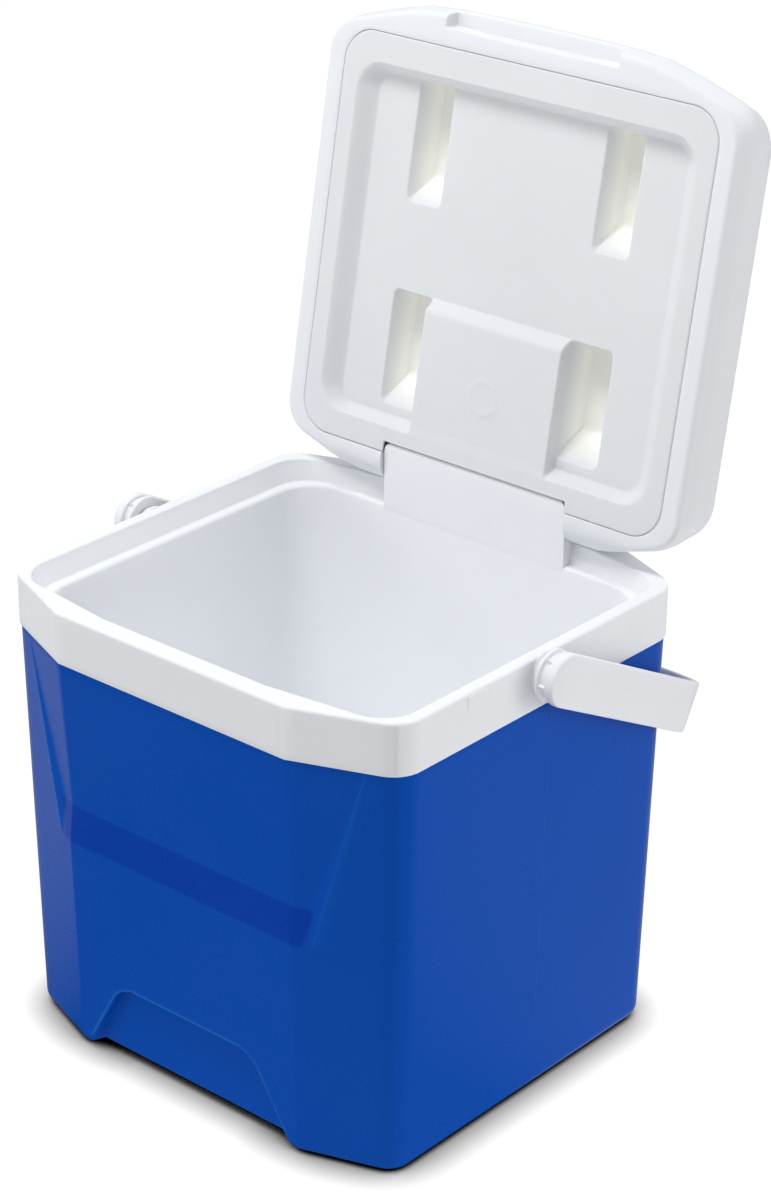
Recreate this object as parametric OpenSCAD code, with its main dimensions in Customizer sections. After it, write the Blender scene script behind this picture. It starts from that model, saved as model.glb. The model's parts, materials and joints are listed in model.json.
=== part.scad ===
// Small hard-sided cooler chest: insulated tub, hinged hollow lid and swinging bail handle.
// Millimetres. Origin: centre of the underside. +Z up, front towards -Y, hinge towards +Y.
// The lid is drawn fully open and the bail is drawn parked against the back.

/* [Tub] */
// Overall width of the white collar
collar_w = 290; // [280:1:300]
// Overall depth of the white collar
collar_d = 279; // [272:1:288]
// Height of the rim above the ground
rim_z = 280; // [274:1:290]
// Height of the white collar band
collar_h = 31; // [28:1:34]
// Width of the body at the ground
base_w = 278.5; // [272:0.5:284]
// Depth of the body at the ground
base_d = 261; // [256:0.5:266]
// Height of the cavity floor above the ground
floor_z = 30; // [26:1:36]
// Wall thickness of the outer shell and of the liner
wall = 2; // [1.8:0.1:2.4]

/* [Front panel] */
// Height at which the sunk upper front panel is deepest
step_z = 159; // [150:1:168]
// Height of the step that comes forward from there to the lower panel
step_h = 24; // [18:1:28]
// Depth of the sunk panel at its deepest
sink = 3.2; // [2:0.2:4.4]
// Half width of the sunk panel at the collar
panel_top = 125; // [118:1:127]
// Half width of the sunk panel at the foot of the step
panel_foot = 95; // [90:1:98]
// Height of the kick recess in the front foot
kick_h = 52; // [44:1:60]
// Depth of the kick recess
kick_depth = 5.5; // [4:0.5:7]

/* [Lid] */
// Lid height above the rim
lid_h = 46; // [42:1:50]
// Angle the lid opens through
lid_open = 100.2; // [98:0.1:101]
// Width of the hinge tab on the back of the liner
tab_w = 134.8; // [120:0.2:140]
// Radius of the hinge pins
pin_r = 3; // [2.5:0.1:3.4]

/* [Handle] */
// Distance from the pivot to the outside of the crossbar
bail_reach = 172; // [170:0.5:176]
// Width of the bail band
bail_band = 30; // [26:1:31]
// Thickness of the bail arms
arm_t = 6; // [4.5:0.1:6]
// Angle of the parked bail below the horizontal
park_angle = 28; // [26:0.2:28]

/* [Hidden] */
$fn = 48;
eps = 0.01;              // thickness of the slabs that a loft is stretched between
gap = 0.3;               // air between pieces that are fixed together
corner_steps = 6;        // flats along one rounded corner
far = 400;               // longer than the whole object

collar_z = rim_z - collar_h;
collar_hw = collar_w / 2;
collar_hd = collar_d / 2;
front_hw = 83.7;         // half length of the straight middle of the front and back
setback = 24.4;          // how far the collar's corners lie behind its front
base_setback = 19.5;
collar_r = 19;
base_r = 16;
overhang = 0.8;          // collar edge proud of the blue body
foot_edge = 6;           // bevel around the foot
rise = 6.5;              // hollow of the underside between the feet
foot_band = 14;          // width of the ring that stands on the ground
neck_h = 11;             // part of the shell that stands up inside the collar
neck_in = 4;
plug_r = 12;

ledge_z = rim_z - 13;    // step inside the rim that the lid's ring drops towards
cavity_hw = 127;
cavity_front = -117;
cavity_back = 114;
floor_hw = 113;
floor_front = -104;
floor_back = 102;
cavity_r = 27;
rim_side = 8;            // width of the rim's flat top at the sides
rim_front = 12.5;
rim_back = 16;
rim_r = 22;              // inner corners of the rim

hinge_y = 124.6;
hinge_z = rim_z + 14.3;
tab_y = 113.9;           // front face of the hinge tab, in line with the cavity's back wall
tab_back = 137;
tab_top = hinge_z + 12.2;
pin_run = 0.05;          // running clearance of the pins in the tab
pin_in_tab = 15;
pin_in_ear = 9;
ear_r = 7;
heel_r = 13.7;           // back edge of the lid, about the hinge
lid_setback = 18.5;      // the lid's corners are fuller than the collar's
lid_gap = 0.6;           // air between the closed lid and the rim
lid_floor = rim_z + lid_gap;
slot_gap = 1.2;          // air beside the hinge tab

seam_hw = 132.6;         // joint between the lid's cover and its inner panel
seam_front = -120.6;
seam_back = 119.9;
seam_r = 20;

pivot_y = -2.5;
pivot_z = rim_z - 10.5;
hub_r = 15;
hub_in = 150.5;          // inner face of the handle hubs
arm_out = 162.7;         // outer face of the arms at the pivot
arm_lean = 0.07;         // how much the arms close in per millimetre of reach
bend_r = 38;
stud_r = 5;
stud_tip = 138.5;
boss_r = 9;
boss_out = 149.6;

// ---- outlines -------------------------------------------------------------------------

function flip(points, sx, sy) = [for (p = points) [p.x * sx, p.y * sy]];
function backwards(v) = [for (i = [len(v) - 1:-1:0]) v[i]];

// Arc between a straight side at x = hw and the slanted facet that starts at [xc, ye].
function facet_corner(hw, ye, xc, sb, r) =
    let (a = atan2(sb, hw - xc), yc = ye - (r + (hw - r - xc) * sin(a)) / cos(a))
    [for (i = [0:corner_steps])
        let (p = (90 - a) * i / corner_steps) [hw - r + r * cos(p), yc + r * sin(p)]];

// Eight-sided plan with rounded corners, from yf (front) to yr (back).
function plan(hw, yf, yr, xc, sb, r) =
    let (rear = facet_corner(hw, yr, xc, sb, r), fore = facet_corner(hw, -yf, xc, sb, r))
    concat(rear, [[xc, yr], [-xc, yr]], backwards(flip(rear, -1, 1)),
           flip(fore, -1, -1), [[-xc, yf], [xc, yf]], backwards(flip(fore, 1, -1)));

function arc(cx, cy, r, from, to) =
    [for (i = [0:corner_steps])
        let (p = from + (to - from) * i / corner_steps) [cx + r * cos(p), cy + r * sin(p)]];

function rounded(hw, yf, yr, r) =
    concat(arc(hw - r, yr - r, r, 0, 90), arc(-hw + r, yr - r, r, 90, 180),
           arc(-hw + r, yf + r, r, 180, 270), arc(hw - r, yf + r, r, 270, 360));

function collar_plan(inset) =
    plan(collar_hw - inset, -collar_hd + inset, collar_hd - inset, front_hw, setback, collar_r);
function base_plan(inset) =
    plan(base_w / 2 - inset, -base_d / 2 + inset, base_d / 2 + 0.6 - inset,
         front_hw, base_setback, base_r);
function rim_plan(grow) =
    plan(collar_hw - rim_side + grow, -collar_hd + rim_front - grow,
         collar_hd - rim_back + grow, front_hw - 24, 10, rim_r);
function ledge_plan(grow) =
    plan(cavity_hw + 6 + grow, cavity_front - 6 - grow, cavity_back + 7 + grow,
         front_hw - 28, 8, rim_r);
function tub_plan(grow) =
    rounded(cavity_hw + grow, cavity_front - grow, cavity_back + grow, cavity_r);
function floor_plan(grow, edge) =
    rounded(floor_hw + grow - edge, floor_front - grow + edge, floor_back + grow - edge,
            cavity_r - edge);

// ---- solids ---------------------------------------------------------------------------

module slab(points, z, h = eps) translate([0, 0, z]) linear_extrude(h) polygon(points);
module block(x, y, z)
    translate([x[0], y[0], z[0]]) cube([x[1] - x[0], y[1] - y[0], z[1] - z[0]]);
// A profile drawn in Y and Z, carried along X.
module along_x(x, points)
    translate([x[0], 0, 0]) rotate([90, 0, 90]) linear_extrude(x[1] - x[0]) polygon(points);
// A profile drawn in X and Z, carried along Y.
module along_y(y, points)
    translate([0, y[1], 0]) rotate([90, 0, 0]) linear_extrude(y[1] - y[0]) polygon(points);
module rod_x(x, y, z, r) translate([x[0], y, z]) rotate([0, 90, 0]) cylinder(h = x[1] - x[0], r = r);
module both_sides() {
    children();
    mirror([1, 0, 0]) children();
}

module tapered_body(inset, foot) hull() {
    slab(base_plan(inset + foot_edge), foot);
    slab(base_plan(inset), foot + foot_edge);
    slab(collar_plan(inset + overhang), collar_z - gap - eps);
}

// Values between the foot and the collar of the body, its plan there and its front facet.
function mid(a, b, z) = a + (b - a) * (z - foot_edge) / (collar_z - foot_edge);
function body_hw(z) = mid(base_w / 2, collar_hw - overhang, z);
function body_front(z) = -mid(base_d / 2, collar_hd - overhang, z);
function body_setback(z) = mid(base_setback, setback, z);
function body_plan(z, inset, back) =
    plan(body_hw(z) - inset, body_front(z) + inset + back, collar_hd,
         front_hw, body_setback(z), mid(base_r, collar_r, z));
function facet_y(x, z) =
    body_front(z) + (x - front_hw) * body_setback(z) / (body_hw(z) - front_hw);

// What is cut away in front of the sunk panel. Its side walls face forward.
module panel_recess(grow) {
    foot = step_z - step_h;
    low = foot - grow;
    difference() {
        intersection() {
            along_y([-far, 0], [[-panel_foot - grow, low], [panel_foot + grow, low],
                                [panel_top + grow, collar_z], [-panel_top - grow, collar_z]]);
            along_x([-far, far], [[-far, low], [facet_y(panel_foot, foot) + grow, low],
                                  [facet_y(panel_top, collar_z) + grow, collar_z], [-far, collar_z]]);
        }
        hull() {
            slab(body_plan(foot, grow, 0.2), low - 0.1);
            slab(body_plan(step_z, grow, sink), step_z);
        }
        hull() {
            slab(body_plan(step_z, grow, sink), step_z - 0.1);
            slab(body_plan(collar_z, grow, 0.3), collar_z + 0.1);
        }
    }
}

module kick_recess(grow) {
    sole = 80 + grow;
    head = 50 + grow;
    r = 9;
    lean = (collar_hd - base_d / 2) / collar_z;
    face = -base_d / 2 + kick_depth + grow;
    intersection() {
        along_y([-far, 0], concat([[-sole, -1], [sole, -1]],
                                  arc(head - r, kick_h + grow - r, r, 30, 90),
                                  arc(-head + r, kick_h + grow - r, r, 90, 150)));
        along_x([-far, far], [[-far, -2], [face, -2], [face - lean * 80, 80], [-far, 80]]);
    }
}

module shell_space(inset, foot) difference() {
    tapered_body(inset, foot);
    panel_recess(inset);
    kick_recess(inset);
}

module outer_shell() color("royalblue") difference() {
    union() {
        shell_space(0, 0);
        slab(collar_plan(neck_in), collar_z - 6, neck_h + 6);
    }
    difference() {
        shell_space(wall, rise + wall);
        slab(collar_plan(0), collar_z - 2 - gap, 10);
    }
    slab(collar_plan(neck_in + wall), collar_z - 8, far);
    difference() {
        union() {
            slab(base_plan(foot_band), -1, rise + 1);
            block([-70, 70], [-base_d, -base_d / 2 + foot_band + 4], [-1, rise]);
        }
        cylinder(h = rise + wall, r = plug_r + 8);
    }
    translate([0, 0, -1]) cylinder(h = far / 8, r = plug_r + 0.2);
}

// Closes the hole that the foam was poured through, in a boss level with the feet.
module foam_fill_plug() color("whitesmoke") {
    cylinder(h = rise + wall, r = plug_r);
    translate([0, 0, rise + wall + gap]) cylinder(h = 2, r = plug_r + 2);
    translate([0, 0, rise + wall - 1]) cylinder(h = 2, r = plug_r - 1);
}

module tub(grow, z_top) hull() {
    slab(floor_plan(grow, 6), floor_z - grow);
    slab(floor_plan(grow, 0), floor_z - grow + 6);
    slab(tub_plan(grow), z_top - eps);
}

module rim_recess(grow) hull() {
    slab(ledge_plan(grow), ledge_z - grow);
    slab(rim_plan(grow), rim_z - eps);
}

module body_insulation() color("khaki") difference() {
    intersection() {
        shell_space(wall + gap, rise + wall + gap);
        block([-far, far], [-far, far], [0, collar_z - 3]);
    }
    tub(wall + gap, ledge_z);
    cylinder(h = rise + wall + 3, r = plug_r + 2.5);
}

// Block that stands up behind the cavity and carries the hinge pins.
module hinge_tab() {
    r = 4;
    intersection() {
        along_x([-tab_w / 2, tab_w / 2],
                concat([[tab_y, ledge_z - 4], [tab_back, ledge_z - 4]],
                       arc(hinge_y, hinge_z, tab_back - hinge_y, 0, 75),
                       arc(tab_y + r, tab_top - r, r, 90, 180)));
        along_y([0, far], concat([[-tab_w / 2, 0], [tab_w / 2, 0]],
                                 arc(tab_w / 2 - 7, tab_top - 7, 7, 0, 90),
                                 arc(-tab_w / 2 + 7, tab_top - 7, 7, 90, 180)));
    }
}

module inner_liner() color("whitesmoke") difference() {
    union() {
        difference() {
            slab(collar_plan(0), collar_z, collar_h);
            difference() {
                slab(collar_plan(wall), collar_z - 1, collar_h + 1 - wall);
                rim_recess(wall);
            }
        }
        tub(wall, ledge_z);
        hinge_tab();
        both_sides() {
            rod_x([134.5, boss_out], pivot_y, pivot_z, boss_r);
            block([collar_hw - 1, collar_hw + 2], [-66, -48], [rim_z - 10, rim_z - 1]);
        }
    }
    difference() {
        rim_recess(0);
        hinge_tab();
    }
    difference() {
        tub(0, ledge_z + 1);
        block([-far, far], [tab_y, far], [ledge_z - 5, far]);
    }
    both_sides() {
        rod_x([tab_w / 2 - pin_in_tab - 1, tab_w], hinge_y, hinge_z, pin_r + pin_run);
        rod_x([stud_tip - 1, boss_out + 1], pivot_y, pivot_z, stud_r + pin_run);
    }
}

// ---- lid, drawn closed and then swung open --------------------------------------------

module swung_open()
    translate([0, hinge_y, hinge_z]) rotate([-lid_open, 0, 0])
        translate([0, -hinge_y, -hinge_z]) children();

// Solid lid; its lower back edge is rounded about the hinge so that it turns clear of the rim.
module lid_block(inset) difference() {
    lid_hull(inset);
    difference() {
        block([-far, far], [hinge_y, far], [0, hinge_z]);
        rod_x([-far, far], hinge_y, hinge_z, heel_r - inset);
    }
}

module lid_hull(inset) hull() {
    hw = collar_hw + 1.4 - inset;
    yf = -collar_hd - 1.4 + inset;
    top = rim_z + lid_h - inset;
    slab(plan(hw, yf, 139.3 - inset, front_hw, lid_setback, collar_r), lid_floor + inset);
    slab(plan(hw - 0.2, yf + 0.2, 138 - inset, front_hw, lid_setback, collar_r), rim_z + 12);
    slab(plan(hw - 1.6, yf + 6, 135.4 - inset, front_hw - 4, lid_setback, collar_r), top - 14);
    slab(plan(hw - 5.5, yf + 14, 132 - inset, front_hw - 8, lid_setback, collar_r), top - 6);
    slab(plan(hw - 19, yf + 32, 122 - inset, front_hw - 16, lid_setback, collar_r - 2), top - eps);
}

module finger_recess(grow)
    block([-60 - grow, 60 + grow], [-far, seam_front - 11.5 + grow], [rim_z - 1, rim_z + 9 + grow]);

module hinge_ear() intersection() {
    lid_block(0);
    union() {
        rod_x([tab_w / 2 + slot_gap, tab_w / 2 + slot_gap + pin_in_ear], hinge_y, hinge_z, ear_r);
        block([tab_w / 2 + slot_gap, tab_w / 2 + slot_gap + pin_in_ear],
              [hinge_y - ear_r, hinge_y + ear_r], [hinge_z, far]);
    }
    block([-far, far], [seam_back + gap + 0.2, far], [0, far]);
}

module lid_cover() color("whitesmoke") swung_open() difference() {
    union() {
        difference() {
            lid_block(0);
            lid_block(wall);
        }
        intersection() {
            lid_block(0);
            finger_recess(wall);
        }
        both_sides() hinge_ear();
    }
    finger_recess(0);
    slab(rounded(seam_hw + gap, seam_front - gap, seam_back + gap, seam_r), rim_z - 1, 5);
    block([-tab_w / 2 - slot_gap, tab_w / 2 + slot_gap], [hinge_y - 16, far],
          [rim_z - 1, hinge_z + 15.4]);
    block([-tab_w / 2 - slot_gap, tab_w / 2 + slot_gap], [hinge_y + 11, far], [rim_z, far]);
    both_sides()
        rod_x([tab_w / 2, tab_w / 2 + slot_gap + pin_in_ear - 1], hinge_y, hinge_z, pin_r + 0.02);
}

panel_z = lid_floor + 8;  // sunk middle of the panel
panel_t = 1.8;

module sunk_middle(grow) hull() {
    slab(rounded(122 + grow, seam_front + 17.5 - grow, seam_back - 16 + grow, 18), lid_floor - 0.1);
    slab(rounded(110.4 + grow, seam_front + 23 - grow, seam_back - 28 + grow, 10),
         panel_z + grow - eps);
}

// Deep pocket that stiffens the panel; its end towards the hinge slopes.
module pocket(x, y) hull() {
    block(x, y, [panel_z - 1, panel_z]);
    block([58, 76], [y[0] + 4, y[1] - 16], [rim_z + 26, rim_z + 26 + eps]);
}

front_pocket_y = [-97, -27];
rear_pocket_y = [25, 92];

module lid_inner_panel() color("white") swung_open() difference() {
    seam_inset = 0.4;
    union() {
        slab(rounded(seam_hw - seam_inset, seam_front + seam_inset, seam_back - seam_inset,
                     seam_r), lid_floor, panel_z + panel_t - lid_floor);
        both_sides() for (y = [front_pocket_y, rear_pocket_y])
            block([53, 82], [y[0] - 2, y[1] + 1.5], [panel_z, rim_z + 26 + panel_t]);
    }
    difference() {
        sunk_middle(0);
        block([-47.5, 47.5], [24.5, far], [lid_floor, far]);
    }
    both_sides() {
        pocket([55, 79], front_pocket_y);
        pocket([49.5, 79], rear_pocket_y);
    }
    difference() {
        slab(rounded(seam_hw - 2.4, seam_front + 2.4, seam_back - 2.4, seam_r - 2),
             lid_floor + panel_t, far);
        sunk_middle(panel_t);
        block([-82, 82], [-100, 95], [panel_z, far]);
        block([-68, 68], [94, far], [0, lid_floor + 1.2]);
    }
    block([-45.5, 45.5], [26.5, 94], [lid_floor + panel_t, far]);
    block([-tab_w / 2 - slot_gap, tab_w / 2 + slot_gap], [113.2, far], [0, far]);
    block([-tab_w / 2 - slot_gap, tab_w / 2 + slot_gap], [100, far], [lid_floor + 1.2, far]);
}

module hinge_pins() color("silver") swung_open() both_sides()
    rod_x([tab_w / 2 - pin_in_tab, tab_w / 2 + slot_gap + pin_in_ear - 1.2], hinge_y, hinge_z, pin_r);

// ---- handle ---------------------------------------------------------------------------

// Plan of the band in X and reach, right half: outer edge out, inner edge back.
function band_plan(t, bar_t) =
    let (bend = bail_reach - bend_r, x_bend = arm_out - arm_lean * bend)
    concat([[arm_out, 0]], arc(x_bend - bend_r, bend, bend_r, 0, 90),
           [[0, bail_reach], [0, bail_reach - bar_t]],
           backwards(arc(x_bend - bend_r, bend, bend_r - bar_t, 0, 90)),
           [[arm_out - t, 0]]);

module handle_bail() color("whitesmoke")
    translate([0, pivot_y, pivot_z]) rotate([-park_angle, 0, 0]) both_sides() {
        translate([0, 0, -bail_band / 2]) linear_extrude(bail_band)
            polygon(band_plan(arm_t, arm_t - 0.5));
        rod_x([hub_in, arm_out], 0, 0, hub_r);
        rod_x([stud_tip, hub_in + 1], 0, 0, stud_r);
    }

outer_shell();
body_insulation();
inner_liner();
foam_fill_plug();
lid_cover();
lid_inner_panel();
hinge_pins();
handle_bail();
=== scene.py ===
import bpy
import json
import math
import numpy as np
from mathutils import Matrix, Vector


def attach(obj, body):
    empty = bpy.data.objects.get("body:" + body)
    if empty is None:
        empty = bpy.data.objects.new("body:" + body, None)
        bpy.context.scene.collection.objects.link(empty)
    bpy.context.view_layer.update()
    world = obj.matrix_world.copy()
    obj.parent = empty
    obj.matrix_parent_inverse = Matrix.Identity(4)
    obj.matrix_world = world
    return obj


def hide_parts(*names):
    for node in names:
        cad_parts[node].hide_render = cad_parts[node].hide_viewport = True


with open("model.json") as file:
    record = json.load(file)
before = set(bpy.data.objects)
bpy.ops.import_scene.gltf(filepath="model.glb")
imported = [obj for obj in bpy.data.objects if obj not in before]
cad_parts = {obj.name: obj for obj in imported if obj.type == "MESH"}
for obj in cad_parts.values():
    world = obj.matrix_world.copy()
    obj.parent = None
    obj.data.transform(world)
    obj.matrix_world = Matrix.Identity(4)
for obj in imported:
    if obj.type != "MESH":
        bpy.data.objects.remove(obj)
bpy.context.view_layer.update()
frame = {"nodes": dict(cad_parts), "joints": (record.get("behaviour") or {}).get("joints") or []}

# All shapes are worked out in millimetres, in the row frame, and turned into metres by add_mesh.
MM = 0.001
JOINTS = {j["name"]: j for j in frame["joints"]}
HINGE_Y = JOINTS["lid_hinge"]["pos_m"][1] / MM
HINGE_Z = JOINTS["lid_hinge"]["pos_m"][2] / MM
LID_OPEN = math.radians(JOINTS["lid_hinge"]["range_deg"][1])
PIVOT_Y = JOINTS["handle_swing"]["pos_m"][1] / MM
PIVOT_Z = JOINTS["handle_swing"]["pos_m"][2] / MM

# tub
RIM_Z = 280.0
COLLAR_Z = 249.0
COLLAR = dict(hw=145.0, yf=-139.5, yr=139.5, xc=83.7, drop_f=24.4, drop_r=24.4, r=19.0)
BODY_TOP = dict(hw=144.2, yf=-138.7, yr=138.7, xc=83.7, drop_f=24.4, drop_r=24.4, r=19.0)
BODY_FOOT = dict(hw=139.25, yf=-130.5, yr=131.1, xc=83.7, drop_f=19.5, drop_r=19.5, r=16.0)
RIM_IN = dict(hw=137.0, yf=-127.0, yr=123.5, xc=59.7, drop_f=10.0, drop_r=10.0, r=22.0)
LEDGE_OUT = dict(hw=133.0, yf=-123.0, yr=121.0, xc=55.7, drop_f=8.0, drop_r=8.0, r=22.0)
TUB_TOP = dict(hw=127.0, yf=-117.0, yr=114.0, xc=55.7, drop_f=0.0, drop_r=0.0, r=27.0)
TUB_FLOOR = dict(hw=113.0, yf=-104.0, yr=102.0, xc=55.7, drop_f=0.0, drop_r=0.0, r=27.0)
LEDGE_Z = 267.0
FLOOR_Z = 30.0
FOOT_RISE = 6.5
FOOT_ROUND = 7.5
FOOT_INNER = 17.5
PLUG_R = 12.0
STEP_Z = 159.0
STEP_FOOT_Z = 135.0
PANEL_SUNK = 3.2
PANEL_TOP = 125.0
PANEL_FOOT = 95.0
KICK_TOP = 52.0
KICK_DEPTH = 5.5
KICK_HALF_TOP = 50.0
KICK_HALF_FOOT = 80.0
TAB_HALF = 67.4
TAB_FRONT = 113.9
TAB_BACK = 137.0
TAB_TOP = HINGE_Z + 12.9

# lid, closed
LID_Z = RIM_Z + 0.6
LID_H = 45.4
HEEL_R = 13.7
FINGER_Y = -131.6
FINGER_HALF = 60.0
FINGER_RISE = 7.5
NOTCH_HALF = 68.0
NOTCH_Y = 108.8
NOTCH_TOP = HINGE_Z + 15.4
PANEL_SINK = 8.0
PANEL_BACK = 113.0
PANEL_EDGE = (132.6, -120.6, 119.9, 20.0)
POCKET_DEPTH = 20.0
LID_DROP = 18.5
LID_HIDDEN = 33.0

# handle
PARK = math.radians(28.0)
REACH = 172.0
ARM_OUT = 162.7
ARM_LEAN = 0.07
BEND_R = 38.0
BAND_HALF = 15.0
ARM_T = 6.0
HUB_IN = 150.5
HUB_R = 15.0

# number of flats along each stretch of a ring
ARC = 10
FACET = 8
SIDE = 12


# ---- shape helpers ---------------------------------------------------------------------

def ease(t):
    t = np.clip(t, 0.0, 1.0)
    return t * t * (3.0 - 2.0 * t)


def soft_min(a, b, k):
    h = np.clip(0.5 + 0.5 * (b - a) / k, 0.0, 1.0)
    return b * (1.0 - h) + a * h - k * h * (1.0 - h)


def mix(a, b, t):
    return {k: a[k] + (b[k] - a[k]) * t for k in a}


def shrink(plan, inset):
    """The same outline moved inwards (or outwards) by an even distance."""
    slope = math.atan2(plan["drop_f"], plan["hw"] - plan["xc"])
    out = dict(plan)
    out["hw"] -= inset
    out["yf"] += inset
    out["yr"] -= inset
    out["xc"] -= inset * math.tan(slope / 2)
    out["drop_f"] = (out["hw"] - out["xc"]) * math.tan(slope)
    out["drop_r"] = out["drop_f"]
    out["r"] = max(plan["r"] - inset, 1.0)
    return out


def corner(hw, ye, xc, drop, r, facet_x=None):
    """Points from a straight side, round its corner and along the slanted facet to x = xc."""
    slope = math.atan2(drop, hw - xc)
    yc = ye - (r + (hw - r - xc) * math.sin(slope)) / math.cos(slope)
    turn = np.linspace(0.0, math.pi / 2 - slope, ARC + 1)
    arc = np.c_[hw - r + r * np.cos(turn), yc + r * np.sin(turn)]
    if facet_x is None:
        facet_x = np.linspace(arc[-1, 0], xc, FACET + 1)[1:]
    else:
        facet_x = facet_x(arc[-1, 0])
    facet = np.c_[facet_x, ye - (facet_x - xc) * math.tan(slope)]
    return np.concatenate([arc, facet])


def ring(plan, front_x, rear_x, facet_x=None):
    """Closed outline, counterclockwise from above, starting on the right side near the front."""
    rear = corner(plan["hw"], plan["yr"], plan["xc"], plan["drop_r"], plan["r"])
    fore = corner(plan["hw"], -plan["yf"], plan["xc"], plan["drop_f"], plan["r"], facet_x)
    side_y = np.linspace(-fore[0, 1], rear[0, 1], SIDE + 1)[1:-1]
    side = np.c_[np.full(SIDE - 1, plan["hw"]), side_y]
    back = np.c_[rear_x[::-1], np.full(len(rear_x), plan["yr"])]
    front = np.c_[front_x, np.full(len(front_x), plan["yf"])]
    return np.concatenate([
        side, rear, back, (rear * [-1, 1])[::-1], (side * [-1, 1])[::-1],
        fore * [-1, -1], front, (fore * [1, -1])[::-1]])


def at_height(outline, z):
    return np.c_[outline, np.full(len(outline), z)]


def quarter(steps):
    """Sine and cosine pairs along a quarter turn."""
    a = np.linspace(0.0, math.pi / 2, steps + 1)
    return list(zip(np.sin(a), np.cos(a)))


def loft(rings, close_first=False, close_last=False, closed=True):
    n = len(rings[0])
    cols = np.arange(n if closed else n - 1)
    faces = []
    for i in range(len(rings) - 1):
        a = i * n + cols
        b = i * n + (cols + 1) % n
        faces += np.stack([a, b, b + n, a + n], axis=-1).tolist()
    if close_first:
        faces.append(list(range(n))[::-1])
    if close_last:
        faces.append([(len(rings) - 1) * n + k for k in range(n)])
    return np.concatenate(rings), faces


def add_mesh(name, shape, material, body, sharp=38.0, bevel=0.0, marks=None):
    """Mesh piece in metres that rides on a body; marks are stored for its material to read."""
    verts, faces = shape
    mesh = bpy.data.meshes.new(name)
    mesh.from_pydata((np.asarray(verts, float) * MM).tolist(), [], faces)
    if marks is not None:
        mesh.attributes.new("mark", "FLOAT", "POINT").data.foreach_set("value", marks)
    mesh.validate()
    mesh.polygons.foreach_set("use_smooth", [True] * len(mesh.polygons))
    mesh.set_sharp_from_angle(angle=math.radians(sharp))
    obj = bpy.data.objects.new(name, mesh)
    bpy.context.scene.collection.objects.link(obj)
    mesh.materials.append(material)
    if bevel:
        mod = obj.modifiers.new("edge", "BEVEL")
        mod.width = bevel * MM
        mod.segments = 3
        mod.limit_method = "ANGLE"
        mod.angle_limit = math.radians(35.0)
        mod.harden_normals = True
    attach(obj, body)
    return obj


def merge(*shapes):
    verts = []
    faces = []
    start = 0
    for v, f in shapes:
        verts.append(np.asarray(v, float))
        faces += [[i + start for i in face] for face in f]
        start += len(v)
    return np.concatenate(verts), faces


def flip_x(shape):
    v, f = shape
    return np.asarray(v) * [-1, 1, 1], [face[::-1] for face in f]


def swing_lid(verts):
    """From the closed lid to the open one the row frame shows."""
    v = np.array(verts, float)
    dy = v[:, 1] - HINGE_Y
    dz = v[:, 2] - HINGE_Z
    c = math.cos(LID_OPEN)
    s = math.sin(LID_OPEN)
    v[:, 1] = HINGE_Y + dy * c + dz * s
    v[:, 2] = HINGE_Z - dy * s + dz * c
    return v


# ---- materials -------------------------------------------------------------------------

class Nodes:
    """A node tree, with short calls for the nodes that the materials and the sky share."""

    def __init__(self, tree):
        self.tree = tree

    def add(self, kind, **values):
        node = self.tree.nodes.new(kind)
        for key, value in values.items():
            setattr(node, key, value)
        return node

    def link(self, a, b):
        self.tree.links.new(a, b)

    def noise(self, scale, detail=3.0, rough=0.55, stretch=(1, 1, 1)):
        place = self.add("ShaderNodeMapping")
        place.inputs["Scale"].default_value = stretch
        self.link(self.coord, place.inputs["Vector"])
        node = self.add("ShaderNodeTexNoise")
        node.inputs["Scale"].default_value = scale
        node.inputs["Detail"].default_value = detail
        node.inputs["Roughness"].default_value = rough
        self.link(place.outputs["Vector"], node.inputs["Vector"])
        return node.outputs["Fac"]

    def span(self, value, low, high, to_low=0.0, to_high=1.0):
        node = self.add("ShaderNodeMapRange")
        node.inputs["From Min"].default_value = low
        node.inputs["From Max"].default_value = high
        node.inputs["To Min"].default_value = to_low
        node.inputs["To Max"].default_value = to_high
        self.link(value, node.inputs["Value"])
        return node.outputs["Result"]

    def blend(self, fac, a, b):
        node = self.add("ShaderNodeMix", data_type="RGBA")
        for socket, value in ((node.inputs[0], fac), (node.inputs[6], a), (node.inputs[7], b)):
            if isinstance(value, (int, float)):
                socket.default_value = value
            elif isinstance(value, tuple):
                socket.default_value = (*value, 1.0)
            else:
                self.link(value, socket)
        return node.outputs[2]

    def math(self, kind, a, b=0.0):
        node = self.add("ShaderNodeMath", operation=kind)
        for socket, value in zip(node.inputs, (a, b)):
            if isinstance(value, (int, float)):
                socket.default_value = value
            else:
                self.link(value, socket)
        return node.outputs[0]

    def bump(self, height, strength, distance, under=None):
        node = self.add("ShaderNodeBump")
        node.inputs["Strength"].default_value = strength
        node.inputs["Distance"].default_value = distance
        self.link(height, node.inputs["Height"])
        if under is not None:
            self.link(under, node.inputs["Normal"])
        return node.outputs["Normal"]

    def pointiness(self):
        return self.add("ShaderNodeNewGeometry").outputs["Pointiness"]

    def place(self):
        split = self.add("ShaderNodeSeparateXYZ")
        self.link(self.coord, split.inputs["Vector"])
        return split.outputs


class MaterialNodes(Nodes):
    """The nodes of a new material, with its shader and the object's coordinates at hand."""

    def __init__(self, name):
        self.mat = bpy.data.materials.new(name)
        self.mat.use_nodes = True
        super().__init__(self.mat.node_tree)
        self.bsdf = self.tree.nodes["Principled BSDF"]
        self.coord = self.add("ShaderNodeTexCoord").outputs["Object"]


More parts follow.
